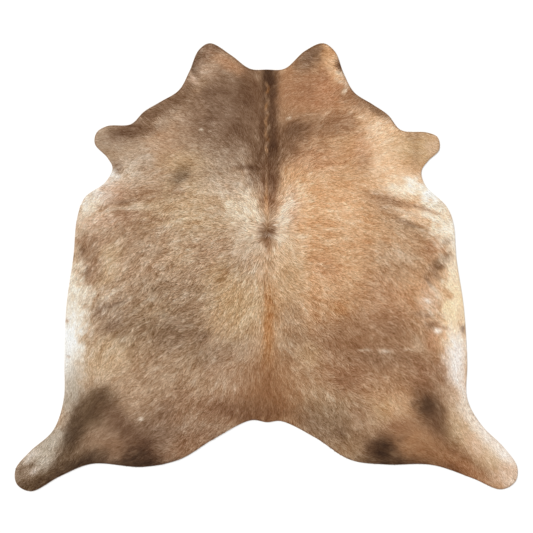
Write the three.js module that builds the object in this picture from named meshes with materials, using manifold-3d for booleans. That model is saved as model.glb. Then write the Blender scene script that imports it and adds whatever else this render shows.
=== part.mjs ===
// A cowhide rug: one whole tanned hide with its hair on, lying flat on the floor with the hair side up.
// It is cut from a single skin, with nothing sewn to it, so it is one solid: the leather and the short hair
// that lies flat on it.
//
// Millimetres. +X points to the right of the hide seen from above, +Y to its neck, and +Z up. The origin is on
// the floor, under the middle of the rectangle that the outline fills.

import * as THREE from "three";
import { mergeVertices } from "three/addons/utils/BufferGeometryUtils.js";
import Module from "manifold-3d";

const wasm = await Module();
wasm.setup();

// Driving sizes, measured up from the floor or in from the cut edge
const cutEdgeHeight = 2.5;
const lyingHairHeight = 6.2;
const hairSlopeWidth = 24;
const hairSlopeRise = 6.5;

// Where the outline crosses the spine, up from the middle of the hide's length
const neckHollowUp = 902;
const tailUp = -707;

// The cut edge down both sides of the hide. Each row is one place on the animal, with its distance out from the
// spine and up from the middle of the length, first on the left side and then on the right.
// Columns: place, leftOut, leftUp, rightOut, rightUp
const edgePlaces = [
  ["neck hollow", 78, 906, 80, 906],
  ["neck slope", 164, 968, 173, 987],
  ["neck tip", 260, 1022, 256, 1022],
  ["neck tip corner", 312, 990, 310, 984],
  ["neck side", 354, 894, 349, 886],
  ["neck root", 402, 808, 397, 799],
  ["shoulder slope", 488, 754, 479, 745],
  ["shoulder", 561, 710, 552, 695],
  ["foreleg crook", 621, 653, 611, 626],
  ["foreleg front", 730, 644, 730, 615],
  ["foreleg corner", 778, 613, 778, 593],
  ["foreleg tip", 785, 562, 786, 537],
  ["foreleg heel", 728, 499, 735, 485],
  ["armpit", 705, 451, 705, 439],
  ["armpit back", 739, 386, 721, 375],
  ["brisket", 830, 319, 817, 280],
  ["rib edge", 867, 220, 849, 206],
  ["belly front", 883, 51, 865, 33],
  ["belly", 916, -186, 898, -186],
  ["flank", 924, -432, 913, -432],
  ["groin", 928, -606, 914, -601],
  ["thigh", 976, -744, 979, -720],
  ["hock", 1081, -840, 1079, -820],
  ["hind leg corner", 1147, -921, 1141, -910],
  ["hind leg tip", 1141, -990, 1133, -977],
  ["hind leg heel", 1077, -1022, 1068, -1013],
  ["shank", 945, -954, 935, -962],
  ["breech", 799, -897, 753, -902],
  ["buttock", 566, -911, 543, -900],
  ["rump curve", 397, -876, 379, -878],
  ["rump slope", 246, -785, 219, -777],
  ["tail root", 73, -698, 64, -702],
];
const edgeStepsPerPlace = 4;

// Where the skin and hair are thicker or thinner than the rest, as soft oval swells and hollows in mm.
// Columns: place, across, along, reachAcross, reachAlong, rise
const thicknessPlaces = [
  ["spine", 0, 90, 42, 700, 1.1],
  ["neck", 0, 800, 300, 190, 0.7],
  ["whorl", 0, 165, 70, 70, 0.4],
  ["left shoulder", -430, 470, 260, 210, 0.4],
  ["right shoulder", 450, 430, 260, 210, 0.5],
  ["left rump", -330, -640, 300, 170, 0.5],
  ["right rump", 370, -620, 300, 170, 0.6],
  ["left belly", -900, -120, 130, 420, -0.9],
  ["right belly", 890, -150, 130, 420, -0.9],
  ["left flank fold", -560, -60, 120, 330, 0.3],
  ["right flank fold", 600, -110, 130, 300, 0.3],
  ["left hind leg", -1040, -930, 130, 100, -0.5],
  ["right hind leg", 1040, -920, 130, 100, -0.5],
  ["left foreleg", -720, 560, 90, 90, -0.4],
  ["right foreleg", 720, 535, 90, 90, -0.4],
];

// The measuring grid of the hair surface, with its columns twice as close at the spine
const reliefColumns = 46;
const reliefRows = 42;
const reliefMargin = 30;
const spineCrowding = 0.5;

function makeOutline() {
  const left = edgePlaces.map(([, leftOut, leftUp]) => new THREE.Vector3(-leftOut, leftUp, 0));
  const right = edgePlaces.map(([, , , rightOut, rightUp]) => new THREE.Vector3(rightOut, rightUp, 0));
  const neck = new THREE.Vector3(0, neckHollowUp, 0);
  const tail = new THREE.Vector3(0, tailUp, 0);
  const ring = [neck, ...left, tail, ...right.reverse()];
  const cutLine = new THREE.CatmullRomCurve3(ring, true, "centripetal");
  const edge = cutLine.getPoints(ring.length * edgeStepsPerPlace).slice(0, -1);
  const middle = new THREE.Box3().setFromPoints(edge).getCenter(new THREE.Vector3());
  return { edge: edge.map((point) => point.sub(middle)), middle };
}

function hairHeight(across, along) {
  return thicknessPlaces.reduce((height, [, placeAcross, placeAlong, reachAcross, reachAlong, rise]) => {
    const stepsAcross = (across - placeAcross) / reachAcross;
    const stepsAlong = (along - placeAlong) / reachAlong;
    return height + rise * Math.exp(-(stepsAcross ** 2) - stepsAlong ** 2);
  }, lyingHairHeight);
}

function toSolid(geometry) {
  const bare = geometry.clone();
  bare.deleteAttribute("normal");
  bare.deleteAttribute("uv");
  const merged = mergeVertices(bare);
  const vertProperties = new Float32Array(merged.attributes.position.array);
  const triVerts = new Uint32Array(merged.index.array);
  return new wasm.Manifold(new wasm.Mesh({ numProp: 3, vertProperties, triVerts }));
}

function toGeometry(solid) {
  const { vertProperties, triVerts } = solid.getMesh();
  const geometry = new THREE.BufferGeometry();
  geometry.setAttribute("position", new THREE.BufferAttribute(vertProperties, 3));
  geometry.setIndex(new THREE.BufferAttribute(triVerts, 1));
  geometry.computeVertexNormals();
  return geometry;
}

// The cut skin: a flat underside, an upright cut edge, and a slope where the hair thins out towards the cut. The
// extrusion has the same slope below, and that one is pressed flat onto the floor.
function makeCutSkin(edge) {
  const shape = new THREE.Shape(edge.map((point) => new THREE.Vector2(point.x, point.y)));
  const skin = new THREE.ExtrudeGeometry(shape, {
    depth: cutEdgeHeight,
    steps: 1,
    bevelThickness: hairSlopeRise,
    bevelSize: hairSlopeWidth,
    bevelOffset: -hairSlopeWidth,
    bevelSegments: 1,
  });
  const corners = skin.attributes.position;
  for (let corner = 0; corner < corners.count; corner += 1) {
    corners.setZ(corner, Math.max(corners.getZ(corner), 0));
  }
  return skin;
}

// Everything under the uneven surface of the lying hair, from well below the floor
function makeReliefBlock(edge, middle) {
  const size = new THREE.Box3().setFromPoints(edge).getSize(new THREE.Vector3());
  const width = size.x + 2 * reliefMargin;
  const length = size.y + 2 * reliefMargin;
  const block = new THREE.BoxGeometry(width, length, 2 * reliefMargin, reliefColumns, reliefRows, 1);
  const corners = block.attributes.position;
  for (let corner = 0; corner < corners.count; corner += 1) {
    const share = corners.getX(corner) / (width / 2);
    const across = (width / 2) * share * (spineCrowding + (1 - spineCrowding) * share ** 2);
    const along = corners.getY(corner);
    const isTop = corners.getZ(corner) > 0;
    const height = isTop ? hairHeight(across + middle.x, along + middle.y) : -reliefMargin;
    corners.setXYZ(corner, across, along, height);
  }
  return block;
}

function makeHide() {
  const { edge, middle } = makeOutline();
  const solid = toSolid(makeCutSkin(edge)).intersect(toSolid(makeReliefBlock(edge, middle)));
  const coat = new THREE.MeshStandardMaterial({ color: "#9c7757", roughness: 0.8, metalness: 0 });
  const hide = new THREE.Mesh(toGeometry(solid), coat);
  hide.name = "hide";
  return hide;
}

const rug = new THREE.Group();
rug.add(makeHide());

export default rug;
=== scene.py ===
# %% [markdown]
# # A cowhide rug
#
# The rug is one tanned skin with its hair on, lying flat on the floor with the hair side up. The imported model
# holds its outline, its thickness and the slight swells of the coat. Here it gets the things that make it a
# hide: the suede of the skin, the dense undercoat, some two hundred thousand locks of hair that lie the way
# they grew on the animal, and the brown, honey and cream shades of this one coat.
#
# The frame is loaded first. The finished rug may not outgrow it.

# %% Load the fixed frame
import math

import bpy
import numpy as np
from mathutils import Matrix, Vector
from mathutils.geometry import delaunay_2d_cdt
from mathutils.kdtree import KDTree


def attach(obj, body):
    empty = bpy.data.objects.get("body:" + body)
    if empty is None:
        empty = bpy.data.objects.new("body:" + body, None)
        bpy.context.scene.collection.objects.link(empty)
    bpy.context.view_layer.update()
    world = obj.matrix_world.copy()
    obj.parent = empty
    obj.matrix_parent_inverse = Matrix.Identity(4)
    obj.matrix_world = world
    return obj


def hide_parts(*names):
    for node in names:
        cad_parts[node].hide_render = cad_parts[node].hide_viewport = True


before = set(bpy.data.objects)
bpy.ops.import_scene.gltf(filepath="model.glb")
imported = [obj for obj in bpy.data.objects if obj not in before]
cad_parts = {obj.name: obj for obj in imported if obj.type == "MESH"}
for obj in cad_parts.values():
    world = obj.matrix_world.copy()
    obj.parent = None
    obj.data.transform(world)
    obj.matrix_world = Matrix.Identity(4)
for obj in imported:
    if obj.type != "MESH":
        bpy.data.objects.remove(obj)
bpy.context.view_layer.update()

# %% [markdown]
# ## Camera, floor and light
#
# The rug was photographed from straight above. A long lens high over the floor keeps the outline free of
# perspective, as there. The height follows from the width of floor that the picture has to show.
#
# The photograph has an even white ground and hardly any shadow. A broad soft sun from the upper left gives
# each lock a light and a dark side, and a bright surround fills the shadows, as two large studio screens do.

# %% Set the camera above the rug
MM = 0.001
picture_width = 533
floor_per_pixel = 4.563 * MM
camera_lens = 85.0
camera_sensor = 36.0
camera_across = 1.3 * MM
camera_along = 3.3 * MM
camera_height = picture_width * floor_per_pixel * camera_lens / camera_sensor

scene = bpy.context.scene
camera_data = bpy.data.cameras.new("camera")
camera_data.lens = camera_lens
camera_data.sensor_width = camera_sensor
camera = bpy.data.objects.new("camera", camera_data)
camera.location = (camera_across, camera_along, camera_height)
scene.collection.objects.link(camera)
scene.camera = camera
scene.view_settings.view_transform = "Standard"
print("camera height", round(camera_height, 3), "m")

# %% Lay the floor and set the light
floor_half_width = 8.0
floor_drop = 0.4 * MM
floor_shade = 0.93
floor_roughness = 0.9
surround_strength = 0.72
sun_strength = 1.95
sun_width = math.radians(24)
sun_from_above = math.radians(48)
sun_from_right = math.radians(135)


def new_material(name, surface_values):
    """A material whose surface has the given values, and that surface's node."""
    material = bpy.data.materials.new(name)
    material.use_nodes = True
    surface = material.node_tree.nodes["Principled BSDF"]
    for socket, value in surface_values.items():
        surface.inputs[socket].default_value = value
    return material, surface


floor_material, _ = new_material("studio_floor", {
    "Base Color": (floor_shade, floor_shade, floor_shade, 1.0),
    "Roughness": floor_roughness,
    "Specular IOR Level": 0.0})
corners = [(-1, -1), (1, -1), (1, 1), (-1, 1)]
floor_mesh = bpy.data.meshes.new("floor")
floor_mesh.from_pydata([(x * floor_half_width, y * floor_half_width, -floor_drop) for x, y in corners],
                       [], [(0, 1, 2, 3)])
floor_mesh.materials.append(floor_material)
floor = bpy.data.objects.new("floor", floor_mesh)
scene.collection.objects.link(floor)

world = bpy.data.worlds.new("studio")
world.use_nodes = True
world.node_tree.nodes["Background"].inputs["Strength"].default_value = surround_strength
world.node_tree.nodes["Background"].inputs["Color"].default_value = (1.0, 1.0, 1.0, 1.0)
scene.world = world

sun_data = bpy.data.lights.new("sun", "SUN")
sun_data.energy = sun_strength
sun_data.angle = sun_width
sun = bpy.data.objects.new("sun", sun_data)
sun_way = Vector((math.cos(sun_from_right) * math.sin(sun_from_above),
                  math.sin(sun_from_right) * math.sin(sun_from_above),
                  math.cos(sun_from_above)))
sun.rotation_euler = sun_way.to_track_quat("Z", "Y").to_euler()
scene.collection.objects.link(sun)
print("floor and light set")

# %% [markdown]
# ## The cut line of the hide
#
# A tanner trims a hide to the shape of the opened animal: the neck with a hollow between its two tips, the
# forelegs, the ribs and belly, the hind legs and the rump. The places below are the ones of the imported model,
# out from the spine and up from the middle of the length. One curve runs through them all.
#
# The curve is a centripetal spline, which never loops or overshoots between two places that lie close
# together. It is worked out here from its formula, so that the finished edge lies on the imported one.

# %% Name the places on the cut line
# Columns: place, out on the left, up on the left, out on the right, up on the right, painted rim shade
edge_places = [
    ("neck hollow", 78, 906, 80, 906, 1.0),
    ("neck slope", 164, 968, 173, 987, 0.7),
    ("neck tip", 260, 1022, 256, 1022, 1.0),
    ("neck tip corner", 312, 990, 310, 984, 1.0),
    ("neck side", 354, 894, 349, 886, 0.9),
    ("neck root", 402, 808, 397, 799, 0.9),
    ("shoulder slope", 488, 754, 479, 745, 1.0),
    ("shoulder", 561, 710, 552, 695, 1.0),
    ("foreleg crook", 621, 653, 611, 626, 0.9),
    ("foreleg front", 730, 644, 730, 615, 0.8),
    ("foreleg corner", 778, 613, 778, 593, 0.6),
    ("foreleg tip", 785, 562, 786, 537, 0.6),
    ("foreleg heel", 728, 499, 735, 485, 0.4),
    ("armpit", 705, 451, 705, 439, 0.3),
    ("armpit back", 739, 386, 721, 375, 0.0),
    ("brisket", 830, 319, 817, 280, 0.0),
    ("rib edge", 867, 220, 849, 206, 0.1),
    ("belly front", 883, 51, 865, 33, 0.1),
    ("belly", 916, -186, 898, -186, 0.0),
    ("flank", 924, -432, 913, -432, 0.0),
    ("groin", 928, -606, 914, -601, 0.2),
    ("thigh", 976, -744, 979, -720, 0.2),
    ("hock", 1081, -840, 1079, -820, 0.1),
    ("hind leg corner", 1147, -921, 1141, -910, 0.1),
    ("hind leg tip", 1141, -990, 1133, -977, 0.4),
    ("hind leg heel", 1077, -1022, 1068, -1013, 1.0),
    ("shank", 945, -954, 935, -962, 1.0),
    ("breech", 799, -897, 753, -902, 1.0),
    ("buttock", 566, -911, 543, -900, 1.0),
    ("rump curve", 397, -876, 379, -878, 0.9),
    ("rump slope", 246, -785, 219, -777, 0.6),
    ("tail root", 73, -698, 64, -702, 0.4),
]
neck_hollow_up = 902
# Strength of the painted shade along the cut edge at the neck hollow and at the tail
neck_hollow_painted_rim_shade = 1.0
tail_up = -707
tail_painted_rim_shade = 0.6
edge_steps = 12


def centripetal_loop(points, steps):
    """A closed centripetal Catmull-Rom curve through the points, as rows of values."""
    rows = []
    for index in range(len(points)):
        before, start, end, after = (points[(index + shift) % len(points)] for shift in (-1, 0, 1, 2))
        gap_before = np.hypot(*(start - before)[:2]) ** 0.5
        gap = np.hypot(*(end - start)[:2]) ** 0.5
        gap_after = np.hypot(*(after - end)[:2]) ** 0.5
        leave = (start - before) / gap_before - (end - before) / (gap_before + gap) + (end - start) / gap
        arrive = (end - start) / gap - (after - start) / (gap + gap_after) + (after - end) / gap_after
        leave = leave * gap
        arrive = arrive * gap
        for step in range(steps):
            t = step / steps
            rows.append(start + leave * t + (3 * (end - start) - 2 * leave - arrive) * t ** 2
                        + (2 * (start - end) + leave + arrive) * t ** 3)
    return np.array(rows)


left_places = [(-out, up, rim) for _, out, up, _, _, rim in edge_places]
right_places = [(out, up, rim) for _, _, _, out, up, rim in reversed(edge_places)]
ring = [(0, neck_hollow_up, neck_hollow_painted_rim_shade)] + left_places + [(0, tail_up, tail_painted_rim_shade)] + right_places
cut_line = centripetal_loop(np.array(ring, dtype=float), edge_steps)
middle = (cut_line[:, :2].min(axis=0) + cut_line[:, :2].max(axis=0)) / 2
cut_line[:, :2] -= middle
print("cut line of", len(cut_line), "points,", np.ptp(cut_line[:, :2], axis=0).round(1), "mm")

# %% [markdown]
# ## A comb over the hide
#
# Everything that changes over the coat is worked out on one square net of points, five millimetres apart,
# like the teeth of a comb laid over the hide: how far it is to the cut edge, how high the hair lies, which
# way it lies, and its shade. The finished pieces read these fields where they need them.
#
# The comb is laid out around the origin, like the finished rug. The tables measure out from the spine and up
# from the middle of the length, so each tooth's place is kept in those terms too. The depth is the distance
# to the cut line, positive inside it. It thins the hair towards the edge.

# %% Measure the depth from the cut edge
comb_pitch = 5.0
comb_margin = 60.0
comb_low = cut_line[:, :2].min(axis=0) - comb_margin
comb_high = cut_line[:, :2].max(axis=0) + comb_margin
comb_across = np.arange(comb_low[0], comb_high[0], comb_pitch)
comb_along = np.arange(comb_low[1], comb_high[1], comb_pitch)
across, along = np.meshgrid(comb_across, comb_along)
hide_x = across + middle[0]
hide_y = along + middle[1]
line_fineness = 5


def inside_cut_line():
    """Which points of the comb lie inside the cut line, row by row."""
    inside = np.zeros(across.shape, dtype=bool)
    start = cut_line[:, :2]
    end = np.roll(start, -1, axis=0)
    for row, height in enumerate(comb_along):
        crossed = (start[:, 1] > height) != (end[:, 1] > height)
        share = (height - start[crossed, 1]) / (end[crossed, 1] - start[crossed, 1])
        crossings = start[crossed, 0] + share * (end[crossed, 0] - start[crossed, 0])
        inside[row] = (comb_across[:, None] > crossings[None, :]).sum(axis=1) % 2 == 1
    return inside


def distance_to_cut_line():
    """The distance to the cut line and its painted rim shade there, for each point of the comb."""
    way = np.roll(cut_line, -1, axis=0) - cut_line
    fine_line = np.concatenate([cut_line + way * step / line_fineness for step in range(line_fineness)])
    tree = KDTree(len(fine_line))
    for index, point in enumerate(fine_line):
        tree.insert((point[0], point[1], 0.0), index)
    tree.balance()
    found = [tree.find((x, y, 0.0)) for x, y in zip(across.ravel(), along.ravel())]
    distance = np.array([hit[2] for hit in found]).reshape(across.shape)
    rim = fine_line[[hit[1] for hit in found], 2].reshape(across.shape)
    return distance, rim


edge_distance, painted_rim_shade = distance_to_cut_line()
depth = np.where(inside_cut_line(), edge_distance, -edge_distance)
depth_rise_along, depth_rise_across = np.gradient(depth, comb_pitch)
print("comb of", across.shape, "points, deepest", depth.max().round(), "mm from the edge")

# %% [markdown]
# ## Soft noise for everything that grew
#
# Nothing on a skin is quite even. One helper makes fields of soft random values of a stated grain, by
# smoothing white noise in the frequency domain. Each use has its own seed, so that it comes out the same on
# every run. Another helper reads any field between the points of the comb, and a third says how near each
# point is to the middle of an oval place.

# %% Make soft noise and read fields
# Columns: use, seed, grain in mm
noise_uses = {
    "slow wander": (11, 110.0),
    "quick wander": (12, 38.0),
    "fine streaks": (21, 6.0),
    "broad streaks": (22, 16.0),
    "push along": (31, 34.0),
    "push across": (32, 20.0),
    "mottle": (33, 60.0),
    "ripple": (41, 34.0),
}
last_cell_guard = 1.001


def soft_noise(use):
    """A field of soft random values with a spread of 1, whose spots are about as wide as the grain."""
    seed, grain = noise_uses[use]
    white = np.random.default_rng(seed).normal(size=across.shape)
    rate_along = np.fft.fftfreq(across.shape[0], comb_pitch)[:, None]
    rate_across = np.fft.rfftfreq(across.shape[1], comb_pitch)[None, :]
    kept = np.exp(-((rate_along ** 2 + rate_across ** 2) * (math.pi * grain / 2) ** 2))
    smooth = np.fft.irfft2(np.fft.rfft2(white) * kept, s=across.shape)
    return (smooth - smooth.mean()) / smooth.std()


def read_field(field, x, y):
    """The field's value at any places, between the points of the comb."""
    column = np.clip((x - comb_low[0]) / comb_pitch, 0, across.shape[1] - last_cell_guard)
    row = np.clip((y - comb_low[1]) / comb_pitch, 0, across.shape[0] - last_cell_guard)
    left = column.astype(int)
    low = row.astype(int)
    share_x = column - left
    share_y = row - low
    if field.ndim == 3:
        share_x = share_x[..., None]
        share_y = share_y[..., None]
    below = field[low, left] * (1 - share_x) + field[low, left + 1] * share_x
    above = field[low + 1, left] * (1 - share_x) + field[low + 1, left + 1] * share_x
    return below * (1 - share_y) + above * share_y


def nearness(place_x, place_y, reach_x, reach_y):
    """How near each point of the comb is to an oval place: 1 at its middle, and fading past its reach."""
    return np.exp(-(((hide_x - place_x) / reach_x) ** 2) - ((hide_y - place_y) / reach_y) ** 2)


print("spread of the fine noise", soft_noise("fine streaks").std().round(2))

# %% [markdown]
# ## How the hair lies
#
# The hair of this hide radiates from a whorl on the back, just behind the shoulders. In front of it the hair
# runs up the neck and out over the shoulders, behind it down the loins and out over the ribs, and along the
# belly and legs it runs straight down. The rug shows this as a sheen and as the direction of every mark.
#
# The guides below are combed on one side, each with the direction in which the tips point there, and the
# other side mirrors them. A point takes the mean of the guides, the near ones counting most, and a random
# wander, part slow and part quick, keeps it from looking ruled.

# %% Comb the hair
# Columns: place, out from the spine, up, lay in degrees (0 points outwards, 90 to the neck)
lay_guides = [
    ("nape", 0, 880, 90),
    ("beside the nape", 50, 860, 62),
    ("nape side", 120, 850, 6),
    ("neck tip", 250, 960, -4),
    ("neck side", 320, 810, 26),
    ("crest", 0, 620, 90),
    ("beside the crest", 52, 660, 70),
    ("neck", 180, 680, 20),
    ("neck edge", 390, 690, 14),
    ("withers", 0, 380, 90),
    ("beside the withers", 52, 420, 58),
    ("shoulder top", 200, 520, 16),
    ("shoulder blade", 340, 500, 14),
    ("shoulder", 490, 540, 16),
    ("shoulder edge", 560, 650, 10),
    ("foreleg root", 600, 530, -2),
    ("foreleg", 740, 560, -6),
    ("armpit", 690, 400, -24),
    ("above the whorl", 60, 270, 52),
    ("fore rib top", 200, 390, 20),
    ("fore rib", 340, 390, -8),
    ("outer fore rib", 520, 390, -14),
    ("whorl side", 45, 160, 0),
    ("rib top", 200, 250, 9),
    ("rib", 340, 250, -2),
    ("outer rib", 500, 240, -24),
    ("rib edge", 760, 240, -28),
    ("rib corner", 850, 160, -56),
    ("below the whorl", 0, 70, -90),
    ("beside the back", 60, 60, -48),
    ("back", 0, -200, -90),
    ("back side", 60, -150, -62),
    ("mid rib top", 200, 100, -14),
    ("mid rib", 400, 110, -14),
    ("mid rib side", 620, 110, -35),
    ("last rib top", 200, -80, -34),
    ("last rib", 400, -80, -32),
    ("last rib side", 620, -80, -38),
    ("belly front", 850, 0, -66),
    ("belly", 890, -250, -90),
    ("loin", 200, -280, -50),
    ("loin side", 400, -280, -38),
    ("flank", 620, -250, -34),
    ("flank side", 760, -330, -44),
    ("flank edge", 890, -480, -84),
    ("hip", 220, -440, -44),
    ("hip side", 420, -440, -42),
    ("stifle", 640, -460, -38),
    ("croup", 0, -560, -90),
    ("beside the croup", 70, -580, -68),
    ("rump", 260, -640, -54),
    ("thigh", 480, -640, -42),
    ("outer thigh", 680, -620, -46),
    ("thigh edge", 880, -640, -62),
    ("rump edge", 340, -780, -44),
    ("buttock", 520, -830, -20),
    ("breech", 680, -840, -24),
    ("shank", 860, -830, -46),
    ("hock", 1000, -880, -44),
    ("hind foot", 1100, -970, -48),
]
lay_reach = 40.0
lay_sharpness = 1.7
slow_wander = math.radians(7)
quick_wander = math.radians(6)


def comb_hair():
    """The way the hair points at each place of the comb, as two fields."""
    sum_x = np.zeros(across.shape)
    sum_y = np.zeros(across.shape)
    for _, out, up, lay in lay_guides:
        for side in ((1, -1) if out else (1,)):
            weight = ((hide_x - side * out) ** 2 + (hide_y - up) ** 2 + lay_reach ** 2) ** -lay_sharpness
            sum_x += weight * side * math.cos(math.radians(lay))
            sum_y += weight * math.sin(math.radians(lay))
    way = np.arctan2(sum_y, sum_x)
    way += slow_wander * soft_noise("slow wander") + quick_wander * soft_noise("quick wander")
    return np.cos(way), np.sin(way)


lay_across, lay_along = comb_hair()
print("hair combed by", len(lay_guides), "guides")

# %% Draw streaks out along the hair
fine_streak_length = 20.0
broad_streak_length = 60.0


def brushed(field, length):
    """The field drawn out along the lie of the hair, as a brush draws out wet paint."""
    total = field.copy()
    for heading in (comb_pitch, -comb_pitch):
        x = across.copy()
        y = along.copy()
        for _ in range(int(length / comb_pitch / 2)):
            x = x + heading * read_field(lay_across, x, y)
            y = y + heading * read_field(lay_along, x, y)
            total += read_field(field, x, y)
    return (total - total.mean()) / total.std()


fine_streaks = brushed(soft_noise("fine streaks"), fine_streak_length)
broad_streaks = brushed(soft_noise("broad streaks"), broad_streak_length)
print("two fields of streaks, from", fine_streaks.min().round(1), "to", fine_streaks.max().round(1))

# %% [markdown]
# ## The shades of the coat
#
# This hide is a brindled fawn: taupe on the left and honey on the right, a dark stripe down the neck, rust
# over the rump, smudges of dark brown on the thighs, and cream to white along the belly. The shades are
# painted as soft oval touches of a few named colours, laid one over the other: they can be moved, turned and
# strengthened one by one, which no ready image allows.
#
# Each touch is drawn out along the hair by the noise fields, so that its border breaks up into strands, as
# dark hair growing through pale hair does. Shades are mixed as the eye sees them, and turned into light last.
# The left half's ground is darker and cooler, partly as the coat's own colour and partly as a painted shade for
# the light that fell less there.

# %% Name the colours of the coat
palette = {
    "soot": "#2f1c0e",
    "umber": "#5f402a",
    "taupe": "#7d604a",
    "russet": "#8a5e3c",
    "rust": "#956b4c",
    "walnut": "#9a7557",
    "olive": "#997d60",
    "fawn": "#a98a6c",
    "mushroom": "#a9917a",
    "ochre": "#b07a48",
    "copper": "#b07f5b",
    "sienna": "#c4946f",
    "tan": "#b7987a",
    "sand": "#c5a57d",
    "stone": "#beb09e",
    "bronze": "#58402a",
    "shell": "#efe3d9",
    "ash": "#c0a890",
    "wheat": "#c9ad8b",
    "honey": "#caa077",
    "amber": "#dab188",
    "blush": "#d3b398",
    "peach": "#e7c4a0",
    "straw": "#f1dab6",
    "cream": "#ecdcc6",
    "milk": "#f5f2ec",
}
# The left ground is partly the coat's own colour and partly a painted shade, as less light fell on that half
left_ground = "tan"
right_ground = "honey"
print(len(palette), "colours")

# %% Place the touches on the neck and shoulders
# Columns of each table of touches: place, colour, across, up, long half, short half, turn in degrees,
# strength
neck_touches = [
    ("left neck", "taupe", -190, 715, 185, 165, 90, 0.90),
    ("left neck by the crest", "umber", -132, 582, 80, 45, 90, 0.50),
    ("left neck by the crest top", "umber", -78, 815, 95, 50, 90, 0.70),
    ("left neck pale", "fawn", -306, 835, 50, 32, 60, 0.50),
    ("left neck tip", "taupe", -280, 985, 80, 40, 20, 0.85),
    ("left tip edge", "taupe", -322, 915, 62, 30, 70, 0.85),
    ("left tip grey", "bronze", -330, 905, 40, 16, 72, 0.35),
    ("left neck pink", "blush", -262, 905, 46, 34, -30, 0.45),
    ("left neck slope", "sienna", -175, 930, 84, 24, -33, 0.60),
    ("left pale patch", "blush", -333, 866, 30, 11, -60, 0.80),
    ("left pale strand", "blush", -322, 842, 22, 8, -25, 0.75),
    ("left lower pale strand", "blush", -310, 802, 14, 6, 0, 0.50),
    ("left neck dark", "umber", -235, 780, 50, 34, 0, 0.30),
    ("left neck side", "copper", -300, 720, 50, 30, 90, 0.06),
    ("left neck root", "umber", -388, 772, 90, 24, 50, 0.28),
    ("left shoulder edge", "umber", -550, 683, 150, 34, 31, 0.65),
    ("below the left neck", "mushroom", -215, 480, 120, 78, 0, 0.62),
    ("left of the withers", "ash", -180, 385, 120, 52, 5, 0.60),
    ("left of the withers side", "sand", -372, 478, 90, 46, 0, 0.55),
    ("right neck", "copper", 214, 795, 165, 100, 0, 0.95),
    ("right neck light", "rust", 92, 800, 150, 46, 90, 0.35),
    ("right neck amber", "sienna", 272, 838, 60, 42, 90, 0.55),
    ("right neck brown", "rust", 250, 876, 34, 30, 0, 0.48),
    ("right neck rust", "rust", 172, 821, 70, 40, 90, 0.40),
    ("right neck tip", "taupe", 185, 962, 72, 42, 55, 0.84),
    ("right tip side", "amber", 292, 950, 105, 30, 100, 0.85),
    ("right tip spot", "umber", 328, 908, 34, 15, 105, 0.85),
    ("right tip pale", "peach", 318, 868, 40, 24, -40, 0.60),
    ("right tip strand one", "cream", 322, 882, 28, 6, -40, 0.55),
    ("right tip strand two", "cream", 330, 842, 26, 6, -35, 0.45),
    ("right tip strand three", "cream", 365, 826, 22, 6, -60, 0.70),
    ("right neck edge", "umber", 478, 730, 110, 20, -35, 0.55),
    ("right neck slope", "walnut", 392, 748, 74, 30, -35, 0.58),
    ("right neck band", "walnut", 235, 650, 170, 52, 0, 0.74),
    ("right neck band core", "umber", 120, 620, 72, 36, 0, 0.30),
    ("right neck band end", "rust", 345, 665, 50, 34, 0, 0.45),
    ("right neck band light", "amber", 433, 662, 40, 30, 0, 0.50),
    ("right of the crest", "umber", 102, 572, 85, 52, 60, 0.74),
    ("right of the crest foot", "rust", 190, 560, 110, 50, 20, 0.40),
]
print(len(neck_touches), "touches on the neck and shoulders")

# %% Place the touches along the back
back_touches = [
    ("whorl halo", "cream", 0, 150, 110, 85, 90, 0.40),
    ("crest side", "umber", -52, 590, 175, 32, 90, 0.45),
    ("crest top", "soot", 8, 835, 95, 24, 90, 0.95),
    ("crest", "umber", 10, 640, 250, 38, 90, 0.93),
    ("crest foot", "umber", 4, 470, 110, 50, 90, 0.58),
    ("withers left", "umber", -55, 420, 50, 24, 80, 0.40),
    ("crest heart", "soot", 16, 560, 110, 20, 90, 0.12),
    ("crest rope", "honey", -3, 640, 150, 5, 90, 0.30),
    ("withers", "rust", 10, 345, 95, 32, 90, 0.80),
    ("withers heart", "umber", 12, 385, 60, 26, 90, 0.55),
    ("withers rope", "honey", -1, 270, 105, 6, 90, 0.80),
    ("left streak", "umber", -80, 450, 44, 11, -3, 0.80),
    ("left whorl fan", "cream", -84, 262, 92, 48, 100, 0.72),
    ("right whorl fan", "blush", 92, 258, 84, 36, 80, 0.85),
    ("right whorl fan light", "cream", 70, 235, 70, 22, 75, 0.70),
    ("whorl", "russet", 1, 154, 42, 34, 90, 0.80),
    ("whorl core", "umber", 1, 158, 26, 20, 90, 0.50),
    ("left of the whorl foot", "cream", -70, 120, 60, 34, 30, 0.35),
    ("right of the whorl foot", "cream", 84, 126, 58, 32, -30, 0.44),
    ("below the whorl", "rust", 0, 100, 26, 9, 90, 0.45),
    ("left loin", "sand", -135, -165, 125, 110, 90, 0.85),
    ("right of the back", "wheat", 95, -50, 140, 62, 90, 0.70),
    ("right loin", "fawn", 110, -235, 80, 50, 90, 0.65),
    ("back line", "ochre", 6, -225, 140, 20, 90, 0.80),
    ("left of the back line", "wheat", -60, -180, 80, 36, 90, 0.60),
    ("loin line", "ochre", 4, -390, 95, 24, 90, 0.40),
    ("croup left", "rust", -190, -645, 120, 60, -12, 0.65),
    ("croup", "russet", 4, -600, 162, 116, 90, 0.92),
    ("croup foot", "umber", -85, -650, 150, 50, -6, 0.36),
    ("left of the croup", "rust", -142, -530, 74, 36, 90, 0.32),
]
print(len(back_touches), "touches along the back")

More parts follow.
